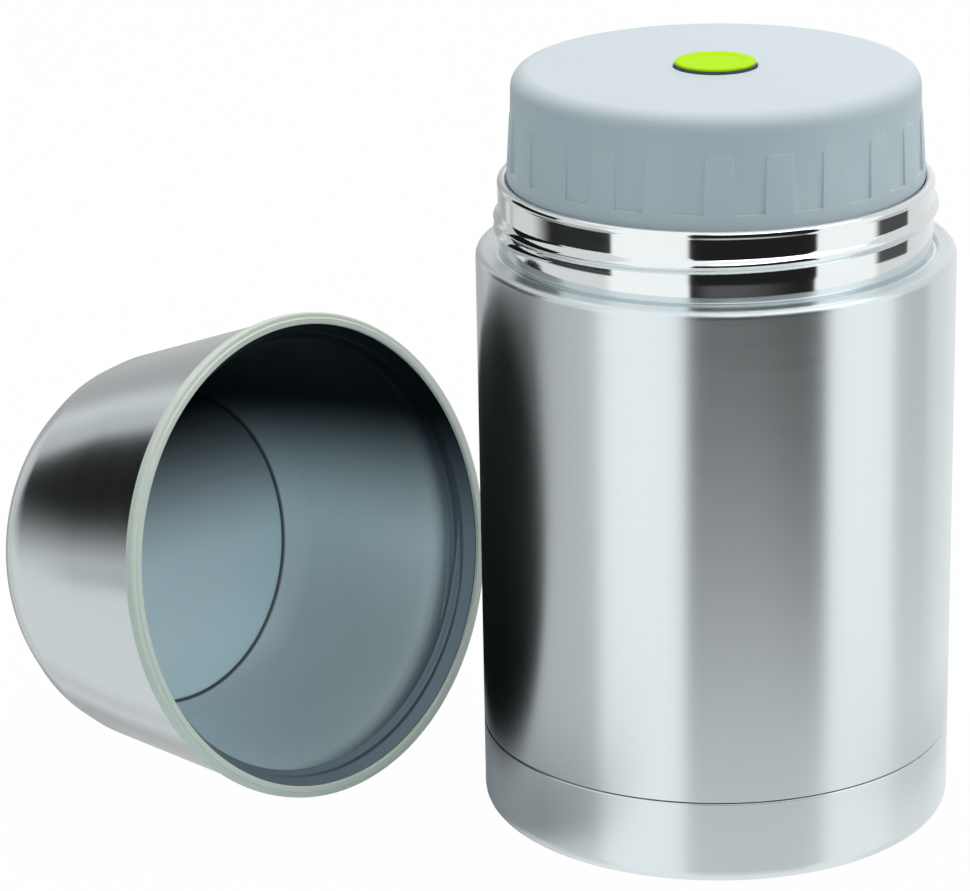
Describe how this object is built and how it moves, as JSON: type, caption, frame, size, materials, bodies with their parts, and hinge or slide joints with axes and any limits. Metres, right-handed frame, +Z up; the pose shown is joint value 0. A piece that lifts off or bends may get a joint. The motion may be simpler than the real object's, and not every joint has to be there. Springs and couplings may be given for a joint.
{
  "type": "insulated food jar",
  "caption": "Double-walled steel food jar with a screw-in stopper lid, a push-button pressure valve and a separate dome cup lying beside it.",
  "frame": {"origin": "centre of the flat ring that the jar stands on, on the jar's axis", "axes": "+Z up along the jar's axis, -Y towards the front, where the picture was taken from, and the cup lies on the -X side"},
  "size_m": [0.2061, 0.1218, 0.1624],
  "materials": {
    "brushed_steel": "brushed around the axis",
    "polished_steel": "polished",
    "inner_steel": "satin",
    "foil": "bright foil",
    "lid_plastic": "satin moulded plastic",
    "plug_plastic": "satin moulded plastic",
    "foam": "fine-celled foam",
    "gasket": "matt silicone",
    "button_lime": "satin moulded plastic",
    "button_slate": "satin moulded plastic",
    "valve_rubber": "matt silicone",
    "ring_plastic": "slightly clear moulded plastic"
  },
  "bodies": {
    "jar": {"outer_shell": "brushed_steel", "mouth_collar": "polished_steel", "inner_flask": "inner_steel", "radiation_foil": "foil", "vacuum_base": "inner_steel", "getter": "polished_steel", "evacuation_seal": "polished_steel", "base_cup": "brushed_steel", "base_spacer": "foam"},
    "lid_seal": {"lid_gasket": "gasket", "lid_foam": "foam"},
    "lid": {"lid_cap": "lid_plastic", "lid_plug": "plug_plastic", "plug_bottom": "plug_plastic", "valve_spring": "polished_steel"},
    "button": {"push_button": "button_lime", "button_carrier": "button_slate", "valve_stem": "polished_steel", "valve_seal": "valve_rubber", "stem_clip": "polished_steel"},
    "cup": {"cup_shell": "brushed_steel", "cup_liner": "inner_steel", "cup_ring": "ring_plastic"}
  },
  "joints": [
    {"name": "lid_rise", "type": "slide", "parent": "jar", "child": "lid_seal", "axis": [0, 0, 1], "range_m": [0, 0.0601]},
    {"name": "lid_turn", "type": "hinge", "parent": "lid_seal", "child": "lid", "pos_m": [0, 0, 0.15], "axis": [0, 0, 1], "range_deg": [0, 1800]},
    {"name": "button_press", "type": "slide", "parent": "lid", "child": "button", "axis": [0, 0, -1], "range_m": [0, 0.001], "stiffness_N_per_m": 300, "springref_m": -0.003, "deforming": ["valve_spring"]},
    {"name": "cup_lift", "type": "slide", "parent": "jar", "child": "cup", "axis": [0, 0, 1], "range_m": [0, 0.12]}
  ],
  "couplings": [
    {"joint": "lid_rise", "follows": "lid_turn", "m_per_rad": 0.0019099}
  ]
}
